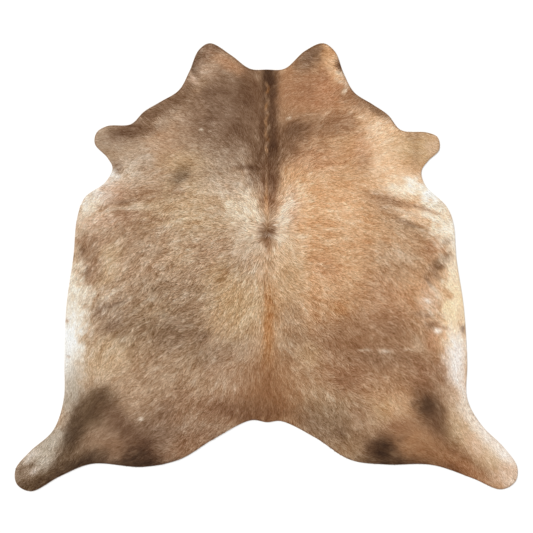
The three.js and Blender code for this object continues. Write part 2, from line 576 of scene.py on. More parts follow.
# %% Place the touches on the left side
left_touches = [
    ("left ribs", "wheat", -340, 250, 240, 96, 0, 0.86),
    ("left rib upper light", "wheat", -265, 410, 84, 52, 0, 0.75),
    ("left rib outer light", "ash", -552, 494, 46, 40, 0, 0.60),
    ("left rib light", "wheat", -292, 355, 75, 38, 0, 0.50),
    ("left rib brown", "walnut", -650, 172, 100, 46, 0, 0.34),
    ("left rib shade", "walnut", -635, 251, 62, 26, 0, 0.70),
    ("left rib inner brown", "walnut", -470, 168, 48, 32, 0, 0.32),
    ("left rib inner shade", "fawn", -224, 251, 46, 28, 0, 0.42),
    ("left rib column", "wheat", -716, 34, 88, 50, 80, 0.82),
    ("left shoulder", "copper", -462, 572, 84, 70, 90, 0.26),
    ("left shoulder pale", "ash", -468, 662, 58, 26, 45, 0.70),
    ("left shoulder pink", "blush", -365, 668, 42, 36, 0, 0.30),
    ("left smudge", "olive", -400, 398, 60, 34, 50, 0.85),
    ("left smudge core", "bronze", -378, 428, 46, 25, 45, 0.60),
    ("left of the smudge", "wheat", -335, 358, 46, 32, 0, 0.75),
    ("left smudge foot", "walnut", -395, 350, 26, 18, 0, 0.40),
    ("left outside the smudge", "wheat", -445, 362, 34, 24, 60, 0.65),
    ("left foreleg", "mushroom", -715, 590, 95, 70, 0, 0.76),
    ("left foreleg light", "ash", -735, 585, 54, 38, 0, 0.35),
    ("left foreleg lower", "olive", -700, 505, 60, 36, 0, 0.30),
    ("left foreleg back", "umber", -600, 600, 70, 34, 15, 0.28),
    ("left foreleg front", "umber", -590, 622, 85, 28, 8, 0.48),
    ("left foreleg root", "ash", -602, 466, 95, 66, 60, 0.85),
    ("left foreleg root light", "cream", -634, 425, 60, 34, 40, 0.34),
    ("left foreleg heel", "taupe", -684, 457, 30, 22, 0, 0.50),
    ("left brisket", "cream", -805, 262, 110, 46, 80, 0.85),
    ("left armpit edge", "milk", -745, 372, 85, 40, 48, 0.95),
    ("left rib peach", "blush", -695, 345, 80, 50, 15, 0.75),
    ("left rib shell", "shell", -716, 325, 46, 34, 10, 0.30),
    ("left rib band", "rust", -570, 333, 115, 27, 8, 0.32),
    ("left lower band", "rust", -640, 229, 125, 20, 8, 0.38),
    ("left rib pink", "blush", -757, 214, 96, 34, 5, 0.62),
    ("left rib line", "rust", -800, 125, 90, 20, 3, 0.55),
    ("left rib strand one", "cream", -600, 275, 80, 9, 8, 0.45),
    ("left rib strand two", "walnut", -520, 215, 90, 9, 10, 0.45),
    ("left rib strand four", "umber", -640, 300, 56, 8, 8, 0.30),
    ("left outer rib", "walnut", -800, 46, 88, 40, 93, 0.96),
    ("left outer rib pale", "fawn", -800, 60, 60, 44, 90, 0.40),
    ("left rib spot", "umber", -840, 78, 18, 13, 60, 0.35),
    ("left rib lower spot", "umber", -817, -14, 20, 13, 60, 0.45),
    ("left inner flank", "olive", -306, -115, 60, 38, 20, 0.50),
    ("left back brown", "fawn", -316, 10, 38, 32, 20, 0.62),
    ("left back pale", "wheat", -212, -25, 76, 50, 20, 0.70),
    ("left back light", "wheat", -385, 50, 62, 56, 0, 0.45),
    ("left back inner brown", "fawn", -141, 0, 48, 32, 30, 0.64),
    ("left middle brown", "fawn", -546, 78, 60, 34, 0, 0.62),
    ("left flank", "olive", -480, -265, 210, 135, 0, 0.72),
    ("left flank side", "mushroom", -700, -240, 110, 70, 90, 0.45),
    ("left flank rib brown", "olive", -495, -85, 70, 34, 0, 0.55),
    ("left flank core", "taupe", -397, -287, 90, 60, 0, 0.28),
    ("left flank lower shade", "olive", -635, -325, 60, 34, 0, 0.55),
    ("left flank inner shade", "olive", -300, -395, 60, 36, 0, 0.55),
    ("left flank foot", "taupe", -434, -356, 50, 28, 0, 0.20),
    ("left outer blotch", "taupe", -762, -196, 32, 22, 40, 0.40),
    ("left flank strand one", "wheat", -735, -60, 60, 10, 25, 0.60),
    ("left flank strand two", "cream", -700, -110, 60, 10, 25, 0.55),
    ("left flank strand three", "cream", -640, -150, 56, 9, 25, 0.45),
    ("left flank strand four", "umber", -690, -165, 60, 9, 20, 0.40),
    ("left middle blotch", "taupe", -694, -265, 38, 22, 40, 0.45),
    ("left lower blotch", "taupe", -671, -312, 30, 20, 40, 0.35),
    ("left inner blotch", "taupe", -283, -310, 34, 22, 40, 0.40),
    ("left loin blotch", "taupe", -200, -385, 105, 46, 10, 0.30),
    ("left loin shade", "olive", -141, -328, 50, 36, 0, 0.45),
    ("left flank pale", "wheat", -716, -335, 44, 34, 20, 0.45),
    ("left flank middle pale", "wheat", -500, -190, 64, 34, 0, 0.36),
    ("left belly", "cream", -884, -165, 172, 76, 91, 0.94),
    ("left belly white", "milk", -898, -380, 165, 66, 90, 0.95),
    ("left belly fleck", "rust", -912, -240, 8, 6, 0, 0.60),
    ("left white fleck", "rust", -905, -402, 9, 5, 0, 0.50),
    ("left groin", "stone", -890, -575, 105, 46, 90, 0.85),
    ("left thigh pale", "wheat", -720, -410, 120, 90, 20, 0.75),
    ("left hip", "fawn", -450, -495, 140, 90, 0, 0.62),
    ("left inner hip", "walnut", -225, -480, 60, 40, 0, 0.45),
    ("left hip brown", "walnut", -388, -585, 70, 50, 0, 0.45),
    ("left hip shade", "walnut", -462, -655, 50, 40, 0, 0.55),
    ("left thigh upper pale", "tan", -640, -600, 90, 70, -40, 0.70),
    ("left thigh", "fawn", -400, -590, 160, 90, 0, 0.50),
    ("left breech", "taupe", -480, -835, 350, 150, -2, 0.86),
    ("left breech inner", "walnut", -352, -815, 110, 70, 30, 0.86),
    ("left thigh smudge", "bronze", -775, -632, 92, 66, 45, 0.94),
    ("left smudge heart", "bronze", -800, -630, 62, 42, 50, 0.45),
    ("left thigh streak", "bronze", -880, -765, 150, 48, 62, 0.90),
    ("left smudge tail", "umber", -660, -706, 104, 46, -42, 0.74),
    ("left buttock smudge", "umber", -565, -850, 92, 74, -20, 0.90),
    ("left buttock heart", "soot", -590, -862, 62, 40, -20, 0.55),
    # Dark hair of the coat along the lower edge, with a painted shade where the trimmed edge lies in shadow
    ("left breech edge with painted shade", "soot", -655, -928, 300, 44, 0, 0.85),
    ("left breech brown", "walnut", -722, -822, 84, 46, 0, 0.70),
    ("left hind leg", "stone", -1040, -850, 115, 58, 42, 0.80),
    ("left leg white", "shell", -1080, -865, 50, 16, 42, 0.50),
    ("left hock pale", "stone", -985, -800, 75, 36, 48, 0.80),
    ("left leg underside", "bronze", -930, -935, 160, 60, 33, 0.92),
    ("left shank dark", "soot", -830, -895, 110, 36, 25, 0.60),
    ("left shank heart", "soot", -885, -740, 60, 30, 70, 0.38),
    ("left leg grey", "stone", -1010, -895, 50, 26, 42, 0.60),
    ("left toe", "mushroom", -1112, -945, 60, 44, 60, 0.85),
    ("left toe shade", "bronze", -1125, -950, 44, 34, 60, 0.34),
    ("left leg speck", "bronze", -1075, -900, 16, 10, 40, 0.40),
    ("left leg lower speck", "bronze", -1030, -935, 16, 10, 40, 0.40),
    ("left leg light speck", "shell", -1060, -925, 18, 10, 60, 0.60),
    ("left foot dark", "bronze", -1060, -1000, 80, 36, 14, 0.95),
    ("left rump", "walnut", -397, -643, 85, 60, 0, 0.60),
    ("left rump inner", "fawn", -306, -660, 70, 34, 0, 0.35),
    ("left thigh shade", "umber", -466, -652, 38, 32, 0, 0.30),
    ("left tail side", "rust", -172, -632, 36, 28, 0, 0.35),
]
print(len(left_touches), "touches on the left side")

# %% Place the touches on the right side
right_touches = [
    ("right shoulder tan", "copper", 240, 495, 110, 50, 0, 0.38),
    ("right shoulder inner", "sienna", 190, 470, 80, 44, 0, 0.40),
    ("right shoulder brown", "walnut", 440, 482, 46, 50, 0, 0.42),
    ("right shoulder honey", "sienna", 430, 552, 66, 46, 90, 0.62),
    ("right shoulder peach", "peach", 495, 635, 120, 58, -32, 0.90),
    ("right shoulder column", "peach", 540, 540, 130, 70, 90, 0.95),
    ("right shoulder foot", "peach", 600, 410, 70, 50, 0, 0.85),
    ("right shoulder root", "amber", 110, 405, 50, 34, 0, 0.45),
    ("right ribs", "amber", 265, 275, 200, 120, 0, 0.88),
    ("right ribs light", "peach", 345, 255, 60, 40, 0, 0.32),
    ("right ribs honey", "honey", 375, 165, 120, 60, 0, 0.58),
    ("right rib brown", "copper", 265, -5, 62, 44, -30, 0.38),
    ("right middle", "amber", 345, 0, 150, 110, 0, 0.20),
    ("right foreleg", "sand", 690, 548, 105, 68, 0, 0.85),
    ("right foreleg dark", "walnut", 671, 505, 66, 24, 90, 0.25),
    ("right foreleg front", "walnut", 662, 598, 38, 16, 0, 0.40),
    ("right foot", "blush", 757, 548, 48, 38, 90, 0.45),
    ("right armpit", "peach", 640, 365, 100, 44, -8, 0.90),
    ("right armpit cream", "cream", 665, 365, 70, 34, -20, 0.80),
    ("right armpit inner", "cream", 590, 345, 60, 26, 0, 0.65),
    ("right armpit edge", "milk", 745, 322, 82, 40, -42, 0.98),
    ("right rib band", "walnut", 562, 284, 108, 34, -22, 0.66),
    ("right outer rib", "fawn", 645, 176, 140, 44, -25, 0.58),
    ("right outer rib brown", "copper", 756, 92, 56, 40, 60, 0.66),
    ("right rib streak", "peach", 725, 250, 125, 30, -12, 0.75),
    ("right rib corner", "cream", 805, 200, 110, 60, -55, 0.82),
    ("right rib edge white", "milk", 850, 170, 70, 18, -78, 0.30),
    ("right rib edge streak", "cream", 785, 155, 62, 28, -45, 0.60),
    ("right rib strand one", "cream", 600, 262, 72, 8, -14, 0.45),
    ("right rib strand two", "peach", 650, 225, 74, 9, -18, 0.65),
    ("right rib strand three", "cream", 735, 288, 60, 9, -14, 0.70),
    ("right rib strand four", "walnut", 700, 272, 64, 8, -18, 0.55),
    ("right rib strand five", "walnut", 560, 310, 70, 12, -20, 0.40),
    ("right rib strand six", "umber", 640, 200, 56, 9, -20, 0.35),
    ("right lower rib", "tan", 600, 40, 130, 85, 0, 0.72),
    ("right rib spot", "umber", 822, 125, 22, 16, 0, 0.40),
    ("right belly smudge", "umber", 790, 28, 50, 24, 42, 0.46),
    ("right smudge heart", "soot", 772, 12, 24, 20, 80, 0.12),
    ("right smudge ear", "umber", 818, 46, 24, 15, 80, 0.35),
    ("right lower smudge", "umber", 744, -30, 34, 26, 0, 0.22),
    ("right flank side", "fawn", 160, -430, 110, 120, 0, 0.60),
    ("right loin", "olive", 116, -347, 66, 62, 0, 0.58),
    ("right flank", "walnut", 480, -370, 280, 190, -4, 0.88),
    ("right flank shoulder", "copper", 560, -150, 110, 70, 10, 0.32),
    ("right rib shade", "rust", 510, -80, 60, 70, 90, 0.35),
    ("right flank top", "rust", 540, -235, 100, 50, 0, 0.35),
    ("right flank outer", "walnut", 725, -480, 70, 90, 60, 0.90),
    ("right flank pale", "tan", 690, -330, 44, 40, 0, 0.55),
    ("right flank inner", "walnut", 300, -345, 90, 62, 0, 0.48),
    ("right flank middle", "russet", 400, -330, 90, 60, 0, 0.45),
    ("right flank core", "umber", 575, -275, 60, 32, 0, 0.10),
    ("right flank lower", "umber", 510, -402, 130, 36, 0, 0.22),
    ("right flank foot", "rust", 356, -512, 86, 70, 0, 0.80),
    ("right inner flank pale", "sand", 187, -400, 50, 44, 90, 0.45),
    ("right hip pale", "tan", 690, -400, 50, 40, 0, 0.42),
    ("right flank corner", "rust", 730, -500, 82, 72, 0, 0.82),
    ("right flank rust", "ochre", 333, -183, 50, 34, 0, 0.50),
    ("right belly", "cream", 855, -40, 230, 42, 92, 0.75),
    ("right belly low", "straw", 850, -205, 140, 52, 90, 0.90),
    ("right belly brown", "copper", 757, -314, 50, 32, 70, 0.62),
    ("right belly inner", "blush", 735, -150, 90, 44, 90, 0.60),
    ("right belly amber", "honey", 882, -251, 50, 13, 92, 0.50),
    ("right belly fleck", "umber", 894, -278, 14, 9, 90, 0.80),
    ("right belly white", "peach", 800, -300, 60, 40, 60, 0.45),
    ("right belly strand one", "cream", 752, -88, 34, 7, -45, 0.60),
    ("right belly strand two", "shell", 727, -148, 16, 8, -30, 0.60),
    ("right belly strand three", "cream", 778, -132, 18, 8, -30, 0.60),
    ("right belly strand four", "cream", 749, -213, 34, 7, -45, 0.60),
    ("right belly strand five", "cream", 792, -208, 34, 7, -35, 0.60),
    ("right belly strand six", "umber", 731, -60, 26, 8, -60, 0.35),
    ("right belly strand seven", "umber", 780, -43, 26, 12, -40, 0.30),
    ("right belly strand eight", "umber", 708, -213, 40, 12, -10, 0.30),
    ("right belly strand nine", "umber", 744, -262, 26, 16, 0, 0.40),
    ("right belly strand ten", "rust", 792, -270, 40, 7, -12, 0.60),
    ("right belly strand eleven", "shell", 776, -286, 18, 9, 0, 0.65),
    ("right belly patch", "shell", 862, -415, 120, 46, 88, 0.98),
    ("right groin white", "shell", 925, -620, 130, 30, -68, 0.92),
    ("right groin honey", "walnut", 835, -650, 80, 36, -62, 0.45),
    ("right groin cream", "cream", 957, -690, 80, 26, -57, 0.88),
    ("scar", "blush", 538, -376, 118, 8, 0, 0.18),
    ("scar inner", "cream", 433, -374, 26, 5, 0, 0.50),
    ("scar middle", "cream", 538, -379, 14, 5, 0, 0.50),
    ("scar outer", "cream", 643, -370, 18, 5, 0, 0.50),
    ("right rump", "olive", 290, -690, 200, 110, -20, 0.92),
    ("right rump shade", "umber", 320, -720, 150, 60, -20, 0.20),
    ("right rump foot", "taupe", 215, -745, 120, 50, -38, 0.50),
    ("right breech", "olive", 600, -800, 300, 140, -3, 0.60),
    ("right breech rust", "rust", 660, -780, 160, 110, -3, 0.60),
    ("right thigh", "honey", 575, -650, 60, 40, 0, 0.35),
    ("right thigh inner", "sand", 508, -656, 60, 36, 45, 0.48),
    ("right thigh outer", "walnut", 790, -560, 80, 44, -65, 0.70),
    ("right thigh smudge", "umber", 742, -645, 94, 60, -62, 0.92),
    ("right smudge core", "soot", 728, -634, 44, 34, 0, 0.62),
    ("right smudge tail", "umber", 815, -765, 130, 48, -55, 0.72),
    ("right thigh edge pale", "tan", 870, -660, 130, 34, -62, 0.45),
    ("right buttock smudge", "umber", 525, -822, 78, 62, 10, 0.90),
    ("right buttock heart", "soot", 525, -825, 46, 42, 0, 0.80),
    # Dark hair of the coat along the lower edge, with a painted shade where the trimmed edge lies in shadow
    ("right breech edge with painted shade", "soot", 650, -930, 270, 66, -2, 0.92),
    ("right rump edge", "umber", 300, -860, 120, 26, -38, 0.12),
    ("right thigh rust", "rust", 590, -724, 52, 32, 0, 0.60),
    ("right breech honey", "honey", 678, -800, 62, 44, 0, 0.55),
    ("right leg underside", "russet", 818, -884, 205, 78, -26, 0.95),
    ("right leg sienna", "copper", 930, -935, 110, 30, -33, 0.55),
    ("right shank edge", "umber", 765, -918, 100, 34, -8, 0.45),
    ("right hind leg", "wheat", 988, -790, 180, 66, -46, 0.92),
    ("right leg core", "blush", 940, -804, 74, 34, -46, 0.70),
    ("right leg white line", "shell", 1015, -775, 190, 34, -48, 0.78),
    ("right thigh corner", "sand", 850, -760, 66, 38, -50, 0.42),
    ("right hock white", "shell", 1110, -880, 60, 28, -60, 0.60),
    ("right hind foot", "blush", 1090, -945, 70, 50, 0, 0.90),
    ("right toe", "shell", 1115, -990, 30, 20, 0, 0.35),
    ("right rump dark", "umber", 333, -744, 30, 26, 0, 0.30),
    ("right rump side", "walnut", 401, -630, 48, 26, 90, 0.30),
    ("right rump inner", "walnut", 430, -690, 64, 60, 0, 0.55),
]
print(len(right_touches), "touches on the right side")

# %% Place the small pale flecks
fleck_touches = [
    ("right neck fleck", "cream", 96, 675, 10, 4, 5, 0.60),
    ("left neck fleck", "cream", -290, 625, 7, 6, 0, 0.90),
    ("left neck small fleck", "cream", -255, 621, 6, 5, 0, 0.50),
    ("whorl dot", "shell", 2, 152, 6, 5, 0, 0.50),
    ("left bead", "cream", -5, 92, 9, 4, 80, 0.60),
    ("right bead", "cream", 28, 88, 9, 4, 70, 0.60),
    ("spine bead", "cream", 0, 62, 14, 4, 90, 0.50),
    ("right neck edge fleck", "cream", 346, 798, 14, 7, 50, 0.85),
    ("left rump fleck", "cream", -570, -688, 9, 7, 0, 0.75),
]
print(len(fleck_touches), "flecks")

# %% Curl the pale rope of hair down the crest
crest_curl_top = 826.0
crest_curl_pitch = 25.0
crest_curl_count = 13
crest_curl_sway = 7.0
crest_curl_tilt = 26.0
crest_curl_rate = 2.6
crest_curl_length = 14
crest_curl_width = 4.2
crest_curl_strength = 0.55
crest_curl_unevenness = 0.15
crest_curl_uneven_rate = 1.7
crest_curl_colours = ("honey", "ochre", "tan")


def crest_curl(step):
    """One small curl of the rope, as a row like those of the tables above."""
    colour = crest_curl_colours[step % len(crest_curl_colours)]
    x = crest_curl_sway * math.sin(crest_curl_rate * step)
    y = crest_curl_top - crest_curl_pitch * step
    turn = 90 + crest_curl_tilt * math.cos(crest_curl_rate * step)
    strength = crest_curl_strength + crest_curl_unevenness * math.sin(crest_curl_uneven_rate * step)
    return (f"crest curl {step}", colour, x, y, crest_curl_length, crest_curl_width, turn, strength)


crest_curls = [crest_curl(step) for step in range(crest_curl_count)]
touches = left_touches + right_touches + neck_touches + back_touches + crest_curls + fleck_touches
print(len(touches), "touches of colour in all")

# %% [markdown]
# ## Where the hair is sleek and where it is fluffy
#
# On the neck, the legs, the croup and the round of the thighs the hair is short and pressed flat, so that it
# shines evenly. On the ribs and flanks it parts into tufts with dark gaps between them. One field says how
# much the locks stand apart. It scales the streaks, the tones of the locks and how thick they are.

# %% Work out the looseness
# Columns: place, across, up, reach across, reach up, share by which the locks there part and vary
loose_places = [
    ("left of the whorl", -280, 140, 320, 280, 1.24),
    ("left flank", -480, -190, 280, 200, 1.36),
    ("left hip", -380, -560, 190, 110, 1.10),
    ("neck", 0, 780, 400, 230, 0.54),
    ("left shoulder", -440, 540, 150, 130, 0.80),
    ("right shoulder", 470, 500, 170, 140, 0.74),
    ("left foreleg", -720, 560, 110, 110, 0.60),
    ("right foreleg", 720, 540, 110, 110, 0.60),
    ("croup", 0, -560, 170, 170, 0.60),
    ("left breech", -700, -800, 180, 140, 0.50),
    ("right breech", 640, -800, 200, 150, 0.50),
    ("right hind leg", 1000, -850, 170, 150, 0.65),
    ("left thigh", -780, -640, 120, 120, 0.54),
    ("right thigh", 740, -640, 110, 120, 0.60),
    ("right flank", 500, -330, 260, 180, 0.88),
    ("left belly", -890, -350, 90, 220, 0.70),
    ("right belly", 870, -150, 70, 260, 0.75),
    ("right armpit", 650, 400, 130, 110, 0.78),
]

hair_looseness = np.ones(across.shape)
for _, *place, share in loose_places:
    hair_looseness *= 1 + (share - 1) * nearness(*place)
print("looseness from", hair_looseness[depth > 0].min().round(2), "to", hair_looseness.max().round(2))

# %% [markdown]
# ## Laying the colours on the comb
#
# A touch is strongest at its middle and fades over its border. The comb's places are first pushed about
# along and across the hair, so that each touch gets a brushed, uneven border. The palest colours are pushed
# most, because on the hide they run out in strands, and small touches least, so that they keep their place.
# Streaks of lighter and darker hair then run through the whole coat, and a painted shade darkens the rim,
# where the trimmed edge shows the shaded ends of the hair.

# %% Turn seen shades into light
srgb_straight_until = 0.04045
srgb_straight_rise = 12.92
srgb_offset = 0.055
srgb_power = 2.4
own_shade_gain = (1.065, 1.09, 1.115)
brightest_hair = 0.94


def seen_colour(name):
    """A palette colour as three seen values from 0 to 1."""
    digits = palette[name]
    return np.array([int(digits[start:start + 2], 16) / 255 for start in (1, 3, 5)])


def hair_albedo(seen):
    """Seen values as linear light by the sRGB rule, raised by what the hair loses in its own shade."""
    curved = ((np.maximum(seen, 0) + srgb_offset) / (1 + srgb_offset)) ** srgb_power
    linear = np.where(seen <= srgb_straight_until, seen / srgb_straight_rise, curved)
    return np.minimum(linear * np.array(own_shade_gain), brightest_hair)


print("light of the left ground", hair_albedo(seen_colour(left_ground)).round(3))

# %% Paint the coat
ground_change_width = 160.0
border_push_along = 24.0
border_push_across = 10.0
streak_push_share = 0.5
push_full_size = 45.0
usual_push = 0.3
pale_push = 1.0
pale_colours = {"straw", "cream", "milk"}
touch_spread = 0.70
touch_edge = 1.4
fine_streak_share = 0.082
broad_streak_share = 0.056
mottle_share = 0.045
# Width and strength of the painted shade along the cut edge
painted_rim_shade_width = 5.0
painted_rim_shade_strength = 0.55
darkest_seen = 0.02
lightest_seen = 0.97


def laid_over(colour, name, cover):
    """The colour with a palette colour laid over it, as strongly as the cover says at each place."""
    return colour * (1 - cover[..., None]) + seen_colour(name) * cover[..., None]


def paint_coat():
    """The seen colour of the coat at each place of the comb."""
    right_share = np.clip(0.5 + hide_x / ground_change_width, 0, 1)
    colour = laid_over(seen_colour(left_ground), right_ground, right_share)
    push_along = border_push_along * (soft_noise("push along") + streak_push_share * fine_streaks)
    push_across = border_push_across * soft_noise("push across")
    push_x = lay_across * push_along - lay_along * push_across
    push_y = lay_along * push_along + lay_across * push_across
    for _, name, touch_x, touch_y, long_half, short_half, turn, strength in touches:
        push = pale_push if name in pale_colours else usual_push
        push *= min(1.0, short_half / push_full_size)
        away_x = hide_x + push * push_x - touch_x
        away_y = hide_y + push * push_y - touch_y
        cosine = math.cos(math.radians(turn))
        sine = math.sin(math.radians(turn))
        lengthwise = (away_x * cosine + away_y * sine) / long_half
        crosswise = (away_y * cosine - away_x * sine) / short_half
        cover = strength * np.exp(-((touch_spread * (lengthwise ** 2 + crosswise ** 2)) ** touch_edge))
        colour = laid_over(colour, name, cover)
    # Painted shade: umber laid along the cut edge, where the trimmed ends of the hair lie in shadow
    rim = painted_rim_shade_strength * painted_rim_shade * np.exp(-((np.maximum(depth, 0) / painted_rim_shade_width) ** 2))
    colour = laid_over(colour, "umber", rim)
    streak = fine_streak_share * fine_streaks + broad_streak_share * broad_streaks
    streak = (streak + mottle_share * soft_noise("mottle")) * hair_looseness
    return np.clip(colour, darkest_seen, lightest_seen) ** (1 - streak[..., None])


coat_seen = paint_coat()
print("mean seen colour of the coat", coat_seen[depth > 0].mean(axis=0).round(3))

# %% [markdown]
# ## How high and how long the hair is
#
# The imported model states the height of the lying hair, with its swells over the spine, shoulders and rump,
# and its thin places on the belly and legs. The same rows are used here. The top of the dense undercoat lies
# a little under that height, and the locks fill the rest. Towards the cut edge both thin out over a slope.
#
# The hair is about two centimetres long on the back and shorter on the belly, legs and neck. A lock near the
# edge is trimmed with the skin, so its length ends where it would pass the cut line.

# %% Work out the heights and lengths
# Columns: place, across, up, reach across, reach up, rise
thickness_places = [
    ("spine", 0, 90, 42, 700, 1.1),
    ("neck", 0, 800, 300, 190, 0.7),
    ("whorl", 0, 165, 70, 70, 0.4),
    ("left shoulder", -430, 470, 260, 210, 0.4),
    ("right shoulder", 450, 430, 260, 210, 0.5),
    ("left rump", -330, -640, 300, 170, 0.5),
    ("right rump", 370, -620, 300, 170, 0.6),
    ("left belly", -900, -120, 130, 420, -0.9),
    ("right belly", 890, -150, 130, 420, -0.9),
    ("left flank fold", -560, -60, 120, 330, 0.3),
    ("right flank fold", 600, -110, 130, 300, 0.3),
    ("left hind leg", -1040, -930, 130, 100, -0.5),
    ("right hind leg", 1040, -920, 130, 100, -0.5),
    ("left foreleg", -720, 560, 90, 90, -0.4),
    ("right foreleg", 720, 535, 90, 90, -0.4),
]
lying_hair_height = 6.2
undercoat_below_hair = 1.9
undercoat_rim_height = 2.9
edge_slope_width = 22.0
undercoat_ripple = 0.22
streak_ripple_share = 0.4

# Columns: place, across, up, reach, length of the hair there as a share of the full length
length_places = [
    ("left belly", -900, -180, 150, 0.62),
    ("right belly", 890, -180, 150, 0.62),
    ("left groin", -900, -480, 150, 0.62),
    ("right groin", 890, -480, 150, 0.62),
    ("left hind foot", -1080, -950, 180, 0.70),
    ("right hind foot", 1080, -940, 180, 0.70),
    ("left foreleg", -740, 560, 120, 0.72),
    ("right foreleg", 740, 540, 120, 0.72),
    ("neck", 0, 820, 320, 0.72),
    ("whorl fan", 0, 180, 190, 1.45),
]
full_hair_length = 21.0
trim_allowance = 0.5
least_outward_share = 0.2
least_hair_length = 3.2


def work_out_heights():
    """The height of the undercoat's top at each place of the comb."""
    hair = lying_hair_height + sum(rise * nearness(*place) for _, *place, rise in thickness_places)
    ripple = undercoat_ripple * (soft_noise("ripple") + streak_ripple_share * fine_streaks)
    inner = hair - undercoat_below_hair + ripple
    share = np.clip(depth / edge_slope_width, 0, 1)
    return undercoat_rim_height + (inner - undercoat_rim_height) * share * (2 - share)


def work_out_lengths():
    """The length of the hair at each place of the comb, trimmed at the cut line."""
    length = np.full(across.shape, full_hair_length)
    for _, place_x, place_y, reach, share in length_places:
        length *= 1 + (share - 1) * nearness(place_x, place_y, reach, reach)
    outward = -(lay_across * depth_rise_across + lay_along * depth_rise_along)
    room = (depth - trim_allowance) / np.maximum(outward, least_outward_share)
    return np.maximum(np.minimum(length, room), least_hair_length)


undercoat_height = work_out_heights()
hair_length = work_out_lengths()
height_rise_along, height_rise_across = np.gradient(undercoat_height, comb_pitch)
lay_slope = lay_across * height_rise_across + lay_along * height_rise_along
print("undercoat", undercoat_height[depth > 0].min().round(2), "to", undercoat_height.max().round(2), "mm")

# %% [markdown]
# ## The skin and the undercoat
#
# The skin is tanned leather, a little over two millimetres thick all over. On it stands the undercoat, the
# dense short hair that the locks lie on. No gap in it is ever seen, so it is made as one mass, which starts a
# little inside the skin so that nothing shows between them.
#
# Both are closed sheets with the outline of the hide. Each could be a plain face with a Solidify modifier,
# but the top of the undercoat follows the comb's heights while its bottom stays flat. So the outline is
# filled twice with triangles, once closely for the top and once coarsely for the bottom, and a wall joins the
# two around the edge.

# %% Fill the outline with triangles
border_clearance = 0.6
fill_tolerance = 1e-5
base_coarseness = 8


def fill_outline(outline, pitch):
    """Flat triangles inside the outline, on a net of points about one pitch apart."""
    points = [Vector((x, y)) for x, y in outline]
    row_pitch = pitch * math.sqrt(3) / 2
    rows = int((comb_high[1] - comb_low[1]) / row_pitch)
    columns = int((comb_high[0] - comb_low[0]) / pitch)
    for row in range(rows):
        y = comb_low[1] + row * row_pitch
        shift = pitch / 2 if row % 2 else 0.0
        x = comb_low[0] + shift + pitch * np.arange(columns)
        deep = read_field(depth, x, np.full(columns, y)) > pitch * border_clearance
        points += [Vector((value, y)) for value in x[deep]]
    border = [(index, (index + 1) % len(outline)) for index in range(len(outline))]
    filled = delaunay_2d_cdt(points, border, [], 1, fill_tolerance)
    if len(filled[0]) != len(points):
        raise ValueError("the outline's fill has moved points")
    return np.array([(point.x, point.y) for point in filled[0]]), [tuple(face) for face in filled[2]]


def closed_sheet(name, inset, pitch, bottom, top_field):
    """A closed mesh with the hide's outline: a flat bottom, and a top as high as a field of the comb says."""
    ahead = np.roll(cut_line[:, :2], -1, axis=0) - np.roll(cut_line[:, :2], 1, axis=0)
    inward = np.stack([-ahead[:, 1], ahead[:, 0]], axis=1)
    inward /= np.linalg.norm(inward, axis=1)[:, None]
    outline = cut_line[:, :2] + inward * inset
    top, top_faces = fill_outline(outline, pitch)
    base, base_faces = fill_outline(outline, base_coarseness * pitch)
    heights = read_field(top_field, top[:, 0], top[:, 1])
    corners = np.concatenate([np.column_stack([top, heights]),
                              np.column_stack([base, np.full(len(base), bottom)])]) * MM
    faces = list(top_faces)
    faces += [tuple(index + len(top) for index in reversed(face)) for face in base_faces]
    for index in range(len(outline)):
        after = (index + 1) % len(outline)
        faces.append((index, index + len(top), after + len(top), after))
    mesh = bpy.data.meshes.new(name)
    mesh.from_pydata(corners.tolist(), [], faces)
    mesh.validate()
    piece = bpy.data.objects.new(name, mesh)
    scene.collection.objects.link(piece)
    return piece


print("base net", base_coarseness, "times as coarse as the top net")

# %% Cut the skin
skin_inset = 0.3
skin_pitch = 30.0
skin_bottom = 0.0
skin_thickness = 2.3

skin_top = np.full(across.shape, skin_thickness)
skin = closed_sheet("hide_leather", skin_inset, skin_pitch, skin_bottom, skin_top)
print("skin of", len(skin.data.polygons), "faces")

# %% Build the undercoat on the skin
undercoat_inset = 0.5
undercoat_pitch = 13.0
undercoat_bottom = 1.9


def store_coat_colour(piece):
    """Give each corner of the piece the colour that the coat has there."""
    places = np.empty(len(piece.data.vertices) * 3)
    piece.data.vertices.foreach_get("co", places)
    places = places.reshape(-1, 3) / MM
    shades = hair_albedo(read_field(coat_seen, places[:, 0], places[:, 1]))
    attribute = piece.data.attributes.new("coat", "FLOAT_COLOR", "POINT")
    attribute.data.foreach_set("color", np.column_stack([shades, np.ones(len(shades))]).ravel())
    looseness = piece.data.attributes.new("looseness", "FLOAT", "POINT")
    looseness.data.foreach_set("value", read_field(hair_looseness, places[:, 0], places[:, 1]))


undercoat = closed_sheet("hide_undercoat", undercoat_inset, undercoat_pitch, undercoat_bottom,
                         undercoat_height)
store_coat_colour(undercoat)
print("undercoat of", len(undercoat.data.polygons), "faces")

# %% [markdown]
# ## One lock of hair
#
# Short hair lies in small pointed locks, some twenty hairs that cling together. A lock is modelled as a slim
# closed wedge: two corners at its root, a ridge where the hairs crowd, and a point. With only four faces it
# can be repeated two hundred thousand times and still catch light on one side and lose it on the other.
# Three of them, straight and bent either way, are enough to hide the repeat.
#
# Each lock carries how far along it a point lies, from 0 at the root to 1 at the tip, and a small map whose
# lines run with the hair, for the single hairs that the material draws.

# %% Model three locks
ridge_place = 0.34
ridge_height = 0.26
ridge_bend_share = 0.3
root_sink = -0.12
tip_height = 0.05
lock_bends = {"lock_straight": 0.0, "lock_left": 0.22, "lock_right": -0.22}


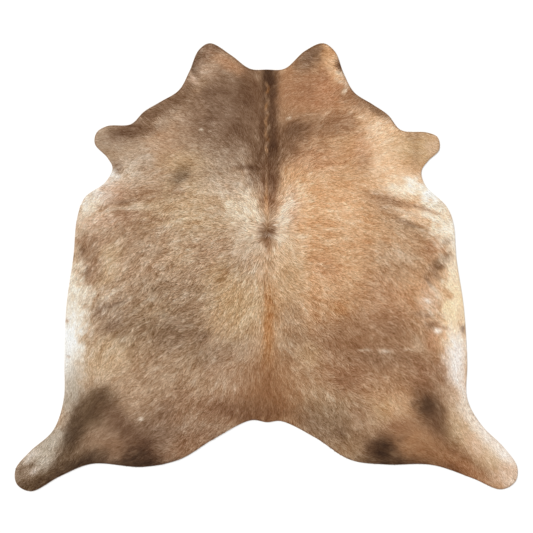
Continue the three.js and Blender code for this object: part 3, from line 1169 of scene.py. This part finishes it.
def make_lock(name, bend):
    """A lock one unit long along X and one unit wide, pointing along X."""
    corners = [(0.0, -0.5, root_sink), (0.0, 0.5, root_sink),
               (ridge_place, bend * ridge_bend_share, ridge_height), (1.0, bend, tip_height)]
    mesh = bpy.data.meshes.new(name)
    mesh.from_pydata(corners, [], [(0, 2, 1), (1, 2, 3), (0, 3, 2), (0, 1, 3)])
    run = mesh.attributes.new("run", "FLOAT", "POINT")
    run.data.foreach_set("value", [corner[0] for corner in corners])
    strands = mesh.uv_layers.new(name="strands")
    for loop in mesh.loops:
        along_lock, across_lock, _ = corners[loop.vertex_index]
        strands.data[loop.index].uv = (along_lock, across_lock + 0.5)
    return bpy.data.objects.new(name, mesh)


lock_collection = bpy.data.collections.new("locks")
for lock_name, lock_bend in lock_bends.items():
    lock_collection.objects.link(make_lock(lock_name, lock_bend))

# %% [markdown]
# ## Materials
#
# Hair and undercoat share one effect, the grain of single hairs, so it is a node group: it takes the coat's
# colour, a random tone and a pattern of fine lines, and gives the finished colour and a height for the bump.
# Hair is darker at its root, a painted shade for where it stands in the shadow of the rest, and lighter
# towards its tip. Dark hair shows less of all this than pale hair, and sleek hair less than fluffy hair.
#
# The sums are done in seen values, because an equal step there looks equal on dark and on pale hair. A few
# helpers keep the trees short: they add a node and feed its sockets, add a maths step, name the sockets of a
# group, and read an attribute of the mesh.

# %% Helpers for node trees
node_spacing = 220


def add_node(tree, kind, feeds=None, **settings):
    """Add a node at the right of the others, set its fields, and feed its sockets with values or links."""
    node = tree.nodes.new(kind)
    node.location.x = node_spacing * len(tree.nodes)
    for field, value in settings.items():
        setattr(node, field, value)
    for socket, feed in (feeds or {}).items():
        if isinstance(feed, bpy.types.NodeSocket):
            tree.links.new(feed, node.inputs[socket])
        else:
            node.inputs[socket].default_value = feed
    return node


def math_node(tree, operation, first, second):
    """A maths step with sockets or plain numbers."""
    return add_node(tree, "ShaderNodeMath", {0: first, 1: second}, operation=operation).outputs[0]


def vector_node(tree, operation, first, second):
    """A maths step on vectors or colours."""
    node = add_node(tree, "ShaderNodeVectorMath", {0: first, 1: second}, operation=operation)
    return node.outputs["Vector"]


def add_sockets(group, in_out, kind, *names):
    """Give a node group named sockets of one kind."""
    for name in names:
        group.interface.new_socket(name=name, in_out=in_out, socket_type="NodeSocket" + kind)


def attribute_node(tree, name, output):
    """Read an attribute of the mesh, as a colour or as a number."""
    return add_node(tree, "ShaderNodeAttribute", attribute_name=name).outputs[output]


print("nodes stand", node_spacing, "apart in the editor")

# %% Build the hair grain group
seen_gamma = 2.2
dark_seen = 0.12
pale_seen = 0.58
grain_on_dark = 0.30
darkest_grain = (0.04, 0.03, 0.02)
palest_grain = (0.98, 0.98, 0.98)


def make_hair_grain():
    """The group that turns a coat colour and the lines of single hairs into colour and height."""
    group = bpy.data.node_groups.new("hair_grain", "ShaderNodeTree")
    add_sockets(group, "INPUT", "Color", "Coat")
    add_sockets(group, "INPUT", "Vector", "Lines")
    add_sockets(group, "INPUT", "Float", "Tone", "Run", "Looseness", "Tone Range", "Line Contrast",
                "Root Painted Shade", "Tip Shade")
    add_sockets(group, "OUTPUT", "Color", "Colour")
    add_sockets(group, "OUTPUT", "Float", "Height")
    given = add_node(group, "NodeGroupInput").outputs
    lines = add_node(group, "ShaderNodeTexNoise", {
        "Vector": given["Lines"], "Scale": 1.0, "Detail": 2.0, "Roughness": 0.6}).outputs["Fac"]

    line_part = math_node(group, "SUBTRACT", lines, 0.5)
    line_part = math_node(group, "MULTIPLY", line_part, given["Line Contrast"])
    tone_part = math_node(group, "SUBTRACT", given["Tone"], 0.5)
    tone_part = math_node(group, "MULTIPLY", tone_part, given["Tone Range"])
    # From root to tip: a painted shade at the root, where the hair lies in the shadow of the rest, lighter at
    # the tip
    run_part = add_node(group, "ShaderNodeMapRange", {
        "Value": given["Run"], "To Min": given["Root Painted Shade"], "To Max": given["Tip Shade"]}).outputs["Result"]
    shade = math_node(group, "ADD", tone_part, line_part)
    shade = math_node(group, "ADD", shade, run_part)

    seen = add_node(group, "ShaderNodeGamma", {"Color": given["Coat"], "Gamma": 1 / seen_gamma})
    seen = seen.outputs["Color"]
    light = add_node(group, "ShaderNodeRGBToBW", {0: seen}).outputs[0]
    reach = add_node(group, "ShaderNodeMapRange", {
        "Value": light, "From Min": dark_seen, "From Max": pale_seen,
        "To Min": grain_on_dark, "To Max": 1.0}).outputs["Result"]
    reach = math_node(group, "MULTIPLY", reach, given["Looseness"])
    shade = math_node(group, "MULTIPLY", shade, reach)
    shaded = vector_node(group, "ADD", seen, shade)
    shaded = vector_node(group, "MAXIMUM", shaded, darkest_grain)
    shaded = vector_node(group, "MINIMUM", shaded, palest_grain)
    finished = add_node(group, "ShaderNodeGamma", {"Color": shaded, "Gamma": seen_gamma})
    add_node(group, "NodeGroupOutput", {"Colour": finished.outputs["Color"], "Height": lines})
    return group


hair_grain = make_hair_grain()
print("hair grain group of", len(hair_grain.nodes), "nodes")

# %% Finish the locks
lock_surface = {"Roughness": 0.60, "Specular IOR Level": 0.15}
lock_grain = {"Tone Range": 0.36, "Line Contrast": 0.18, "Root Painted Shade": -0.13, "Tip Shade": 0.13}
lock_bump = {"Strength": 0.35, "Distance": 0.3 * MM}
line_stretch = (1.3, 9.0, 0.0)
line_shift = 400.0


def hair_material(name, surface_values, grain_values, bump_values, make_feeds):
    """A hair finish. make_feeds adds the nodes that feed the grain group, and returns their sockets."""
    material, surface = new_material(name, surface_values)
    tree = material.node_tree
    grain = add_node(tree, "ShaderNodeGroup", {
        "Coat": attribute_node(tree, "coat", "Color"),
        "Looseness": attribute_node(tree, "looseness", "Fac"),
        **grain_values, **make_feeds(tree)}, node_tree=hair_grain)
    bump = add_node(tree, "ShaderNodeBump", {**bump_values, "Height": grain.outputs["Height"]})
    tree.links.new(grain.outputs["Colour"], surface.inputs["Base Color"])
    tree.links.new(bump.outputs["Normal"], surface.inputs["Normal"])
    return material


def lock_feeds(tree):
    """Each lock has lines along it, a random tone that also moves the lines, and its run from root to tip."""
    tone = attribute_node(tree, "tone", "Fac")
    strands = add_node(tree, "ShaderNodeUVMap", uv_map="strands").outputs["UV"]
    stretched = vector_node(tree, "MULTIPLY", strands, line_stretch)
    far = math_node(tree, "MULTIPLY", tone, line_shift)
    shift = add_node(tree, "ShaderNodeCombineXYZ", {"Z": far}).outputs["Vector"]
    lines = vector_node(tree, "ADD", stretched, shift)
    return {"Lines": lines, "Tone": tone, "Run": attribute_node(tree, "run", "Fac")}


lock_finish = hair_material("lying_hair", lock_surface, lock_grain, lock_bump, lock_feeds)
print("lock finish made")

# %% Finish the undercoat
undercoat_surface = {"Roughness": 0.8, "Specular IOR Level": 0.10}
# The undercoat is all root: it takes the painted root shade all over, as it lies in the shadow of the locks
undercoat_grain = {"Tone Range": 0.10, "Line Contrast": 0.16, "Root Painted Shade": -0.12, "Tip Shade": 0.0}
undercoat_bump = {"Strength": 0.5, "Distance": 0.5 * MM}
tufts_per_metre = 300.0
patches_per_metre = 70.0


def undercoat_feeds(tree):
    """Fine uneven tufts, soft random patches of tone, and the painted shade of the roots all over."""
    place = add_node(tree, "ShaderNodeTexCoord").outputs["Object"]
    tufts = add_node(tree, "ShaderNodeVectorMath", {0: place, "Scale": tufts_per_metre}, operation="SCALE")
    patches = add_node(tree, "ShaderNodeTexNoise", {"Vector": place, "Scale": patches_per_metre})
    return {"Lines": tufts.outputs["Vector"], "Tone": patches.outputs["Fac"], "Run": 0.0}


undercoat_finish = hair_material("undercoat_hair", undercoat_surface, undercoat_grain, undercoat_bump,
                                 undercoat_feeds)
undercoat.data.materials.append(undercoat_finish)
print("undercoat finish made")

# %% [markdown]
# ## The suede of the skin
#
# The skin's own face, below and at the cut edge, is suede: pale, dull and slightly fibrous, with cloudy
# patches from the tanning. It needs no map, because noise on the object's own coordinates has the same grain
# everywhere. Wide noise makes the clouds, fine noise the nap, and the borders of Voronoi cells the creases.

# %% Finish the suede
suede_surface = {"Roughness": 0.92, "Specular IOR Level": 0.15, "Sheen Weight": 0.25}
suede_colour = (0.60, 0.47, 0.33, 1.0)
suede_pale = (0.74, 0.63, 0.49, 1.0)
clouds_per_metre = 5.0
nap_per_metre = 420.0
creases_per_metre = 38.0
crease_width = 0.12
nap_darkest = 0.82
nap_lightest = 1.14
suede_bump = {"Strength": 0.35, "Distance": 0.4 * MM}


def make_suede():
    """The flesh side and the cut edge: dull suede with clouds, fine nap and a few creases."""
    material, surface = new_material("suede", suede_surface)
    tree = material.node_tree
    place = add_node(tree, "ShaderNodeTexCoord").outputs["Object"]
    clouds = add_node(tree, "ShaderNodeTexNoise", {
        "Vector": place, "Scale": clouds_per_metre, "Detail": 6.0, "Roughness": 0.6}).outputs["Fac"]
    nap = add_node(tree, "ShaderNodeTexNoise", {
        "Vector": place, "Scale": nap_per_metre, "Detail": 4.0}).outputs["Fac"]
    creases = add_node(tree, "ShaderNodeTexVoronoi", {
        "Vector": place, "Scale": creases_per_metre}, feature="DISTANCE_TO_EDGE").outputs["Distance"]

    clouded = add_node(tree, "ShaderNodeMix", {0: clouds, 6: suede_colour, 7: suede_pale},
                       data_type="RGBA").outputs[2]
    nap_shade = add_node(tree, "ShaderNodeMapRange", {
        "Value": nap, "To Min": nap_darkest, "To Max": nap_lightest}).outputs["Result"]
    tinted = add_node(tree, "ShaderNodeVectorMath", {0: clouded, "Scale": nap_shade},
                      operation="SCALE").outputs["Vector"]
    crease_height = add_node(tree, "ShaderNodeMapRange", {
        "Value": creases, "From Max": crease_width}).outputs["Result"]
    height = math_node(tree, "ADD", nap, crease_height)
    bump = add_node(tree, "ShaderNodeBump", {**suede_bump, "Height": height})
    tree.links.new(tinted, surface.inputs["Base Color"])
    tree.links.new(bump.outputs["Normal"], surface.inputs["Normal"])
    return material


skin.data.materials.append(make_suede())
print("suede made")

# %% [markdown]
# ## Growing the coat
#
# The locks are scattered and turned by Geometry Nodes, because two hundred thousand of anything are quickest
# placed by a rule. Points fall on a net over the undercoat, and those whose root would come too near the cut
# are taken away. A lock goes on each of the others, turned the way the hair lies there and tilted with the
# slope of the skin, with a random length, width, lift and tone.
#
# The tree takes its sizes as named inputs. The chances below say how far each lock may differ from its
# neighbours. Two even chances added together favour the middle, and so tone and sway have two each.

# %% Helpers for the tree that grows hair
# Columns: what differs, least, most, seed
lock_chances = {
    "first tone": (0.0, 0.5, 3),
    "second tone": (0.0, 0.5, 4),
    "first sway": (-0.5, 0.5, 5),
    "second sway": (-0.5, 0.5, 6),
    "lift": (0.35, 1.65, 7),
    "roll": (-0.35, 0.35, 8),
    "length": (0.72, 1.0, 9),
    "width": (0.6, 1.4, 10),
}


def field_node(tree, kind, name):
    """Read a named field of the scattered points."""
    node = add_node(tree, "GeometryNodeInputNamedAttribute", {"Name": name}, data_type=kind)
    return node.outputs["Attribute"]


def chance_node(tree, name):
    """A random value for each lock, from the table of chances."""
    least, most, seed = lock_chances[name]
    feeds = {2: least, 3: most, "Seed": seed}
    return add_node(tree, "FunctionNodeRandomValue", feeds, data_type="FLOAT").outputs[1]


print(len(lock_chances), "chances for each lock")

# %% Build the tree that grows hair
def make_hair_tree():
    """Geometry Nodes: scatter locks on a net and lay them down."""
    tree = bpy.data.node_groups.new("grow_hair", "GeometryNodeTree")
    add_sockets(tree, "INPUT", "Geometry", "Geometry")
    add_sockets(tree, "INPUT", "Collection", "Locks")
    add_sockets(tree, "INPUT", "Material", "Finish")
    add_sockets(tree, "INPUT", "Float", "Locks per Area", "Root Depth", "Lock Width", "Lift", "Stray")
    add_sockets(tree, "INPUT", "Int", "Seed")
    add_sockets(tree, "OUTPUT", "Geometry", "Geometry")
    given = add_node(tree, "NodeGroupInput").outputs

    points = add_node(tree, "GeometryNodeDistributePointsOnFaces", {
        "Mesh": given["Geometry"], "Density": given["Locks per Area"], "Seed": given["Seed"]},
        distribute_method="RANDOM").outputs["Points"]
    bare = math_node(tree, "LESS_THAN", field_node(tree, "FLOAT", "depth"), given["Root Depth"])
    points = add_node(tree, "GeometryNodeDeleteGeometry", {"Geometry": points, "Selection": bare},
                      domain="POINT").outputs["Geometry"]
    tone = math_node(tree, "ADD", chance_node(tree, "first tone"), chance_node(tree, "second tone"))
    points = add_node(tree, "GeometryNodeStoreNamedAttribute", {
        "Geometry": points, "Name": "tone", "Value": tone},
        data_type="FLOAT", domain="POINT").outputs["Geometry"]

    lay = add_node(tree, "ShaderNodeSeparateXYZ", {0: field_node(tree, "FLOAT_VECTOR", "lay")}).outputs
    heading = math_node(tree, "ARCTAN2", lay["Y"], lay["X"])
    sway = math_node(tree, "ADD", chance_node(tree, "first sway"), chance_node(tree, "second sway"))
    sway = math_node(tree, "MULTIPLY", sway, given["Stray"])
    heading = math_node(tree, "ADD", heading, sway)
    slope = field_node(tree, "FLOAT", "slope")
    rise = add_node(tree, "ShaderNodeMath", {0: slope}, operation="ARCTANGENT").outputs[0]
    lift = math_node(tree, "MULTIPLY", chance_node(tree, "lift"), given["Lift"])
    tilt = math_node(tree, "ADD", rise, lift)
    tilt = math_node(tree, "MULTIPLY", tilt, -1.0)
    turn = add_node(tree, "ShaderNodeCombineXYZ", {
        "X": chance_node(tree, "roll"), "Y": tilt, "Z": heading}).outputs["Vector"]
    rotation = add_node(tree, "FunctionNodeEulerToRotation", {0: turn}).outputs[0]

    length = math_node(tree, "MULTIPLY", field_node(tree, "FLOAT", "length"), chance_node(tree, "length"))
    width = field_node(tree, "FLOAT", "width_share")
    width = math_node(tree, "MULTIPLY", width, chance_node(tree, "width"))
    width = math_node(tree, "MULTIPLY", width, given["Lock Width"])
    height = math_node(tree, "MULTIPLY", width, field_node(tree, "FLOAT", "looseness"))
    size = add_node(tree, "ShaderNodeCombineXYZ", {"X": length, "Y": width, "Z": height}).outputs["Vector"]

    locks = add_node(tree, "GeometryNodeCollectionInfo", {
        "Collection": given["Locks"], "Separate Children": True, "Reset Children": True},
        transform_space="ORIGINAL").outputs["Instances"]
    planted = add_node(tree, "GeometryNodeInstanceOnPoints", {
        "Points": points, "Instance": locks, "Pick Instance": True, "Rotation": rotation,
        "Scale": size}).outputs["Instances"]
    real = add_node(tree, "GeometryNodeRealizeInstances", {"Geometry": planted}).outputs["Geometry"]
    finished = add_node(tree, "GeometryNodeSetMaterial", {
        "Geometry": real, "Material": given["Finish"]}).outputs["Geometry"]
    add_node(tree, "NodeGroupOutput", {"Geometry": finished})
    return tree


hair_tree = make_hair_tree()
hair_inputs = {item.name: item.identifier for item in hair_tree.interface.items_tree
               if item.in_out == "INPUT"}
print("hair tree of", len(hair_tree.nodes), "nodes")

# %% [markdown]
# ## Five bands of hair
#
# Each band takes its rows of the comb as a net of small squares, with the fields stored on its corners, and
# grows its hair there. One mesh of it all would be too heavy to handle, and the bands hold about the same
# area, so that none gets too heavy either. The grown hair is turned into a plain mesh, the modifier goes, and
# so do the fields that no material reads.
#
# A flat map from above is stored with each band. It holds the shade of every lock when the finish is baked
# for other programs.

# %% Lay a net for a band
band_names = ["coat_rump", "coat_loins", "coat_ribs", "coat_shoulders", "coat_neck"]
narrow_below_length = 18.0
least_width_share = 0.45


def band_borders():
    """The rows of the comb where the bands meet, each band with the same area."""
    area = np.cumsum((depth > 0).sum(axis=1))
    shares = np.linspace(0, area[-1], len(band_names) + 1)[1:-1]
    return [0] + [int(np.searchsorted(area, share)) for share in shares] + [len(comb_along) - 1]


def store_field(mesh, name, kind, key, values):
    """Store one value for each corner of the mesh."""
    mesh.attributes.new(name, kind, "POINT").data.foreach_set(key, values.ravel())


def band_net(name, low_row, high_row):
    """A net over some rows of the comb, with the fields that the hair needs."""
    rows = slice(low_row, high_row + 1)
    places = np.dstack([across[rows], along[rows], undercoat_height[rows]]) * MM
    numbers = np.arange(across[rows].size).reshape(across[rows].shape)
    near = (depth[rows] > -comb_pitch)[:-1, :-1]
    squares = [numbers[:-1, :-1], numbers[:-1, 1:], numbers[1:, 1:], numbers[1:, :-1]]
    mesh = bpy.data.meshes.new(name)
    mesh.from_pydata(places.reshape(-1, 3).tolist(), [], np.stack(squares, axis=-1)[near].tolist())
    fields = {
        "depth": depth[rows] * MM,
        "length": hair_length[rows] * MM,
        "width_share": np.clip(hair_length[rows] / narrow_below_length, least_width_share, 1.0),
        "slope": lay_slope[rows],
        "looseness": hair_looseness[rows],
    }
    for field, values in fields.items():
        store_field(mesh, field, "FLOAT", "value", values)
    lay = np.dstack([lay_across[rows], lay_along[rows], np.zeros(numbers.shape)])
    store_field(mesh, "lay", "FLOAT_VECTOR", "vector", lay)
    shades = np.dstack([hair_albedo(coat_seen[rows]), np.ones(numbers.shape)])
    store_field(mesh, "coat", "FLOAT_COLOR", "color", shades)
    net = bpy.data.objects.new(name, mesh)
    scene.collection.objects.link(net)
    return net


borders = band_borders()
print("bands meet at rows", borders)

# %% Grow the bands
locks_per_square_metre = 71000.0
lock_width = 4.6
lock_lift = math.radians(3.2)
lock_stray = math.radians(17.0)
root_depth = 2.0
kept_attributes = {"coat", "looseness", "tone", "run", "strands", "OFBake",
                   "position", "material_index", "sharp_face"}


def grow(net, seed):
    """Grow the hair on a net and return it as a plain mesh."""
    modifier = net.modifiers.new("hair", "NODES")
    modifier.node_group = hair_tree
    sizes = {
        "Locks": lock_collection,
        "Finish": lock_finish,
        "Locks per Area": locks_per_square_metre,
        "Root Depth": root_depth * MM,
        "Lock Width": lock_width * MM,
        "Lift": lock_lift,
        "Stray": lock_stray,
        "Seed": seed,
    }
    for name, value in sizes.items():
        modifier[hair_inputs[name]] = value
    graph = bpy.context.evaluated_depsgraph_get()
    mesh = bpy.data.meshes.new_from_object(net.evaluated_get(graph), depsgraph=graph)
    net.modifiers.remove(modifier)
    return mesh


def drop_spare_fields(mesh):
    """Remove the fields that only the growing needed."""
    names = [attribute.name for attribute in mesh.attributes]
    for name in names:
        if name not in kept_attributes and not name.startswith("."):
            mesh.attributes.remove(mesh.attributes[name])


def add_flat_map(mesh):
    """A map seen from above that fills the square with the mesh."""
    places = np.empty(len(mesh.vertices) * 3, dtype=np.float32)
    mesh.vertices.foreach_get("co", places)
    places = places.reshape(-1, 3)[:, :2]
    low = places.min(axis=0)
    spread = (places - low) / (places.max(axis=0) - low)
    owners = np.empty(len(mesh.loops), dtype=np.int32)
    mesh.loops.foreach_get("vertex_index", owners)
    flat_map = mesh.uv_layers.new(name="OFBake")
    flat_map.data.foreach_set("uv", spread[owners].astype(np.float32).ravel())


coat_pieces = []
for index, band_name in enumerate(band_names):
    net = band_net(band_name, borders[index], borders[index + 1])
    net.data = grow(net, index + 1)
    net.data.name = band_name
    drop_spare_fields(net.data)
    add_flat_map(net.data)
    coat_pieces.append(net)
    print(band_name, len(net.data.polygons), "triangles")

# %% [markdown]
# ## What stands for what
#
# The skin stands for the imported hide and carries everything else, with the hair on it. All of it rides on
# the one body, because a rug has no moving part.

for piece in [skin, undercoat] + coat_pieces:
    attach(piece, "root")
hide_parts("hide")
print("hair triangles", sum(len(piece.data.polygons) for piece in coat_pieces))
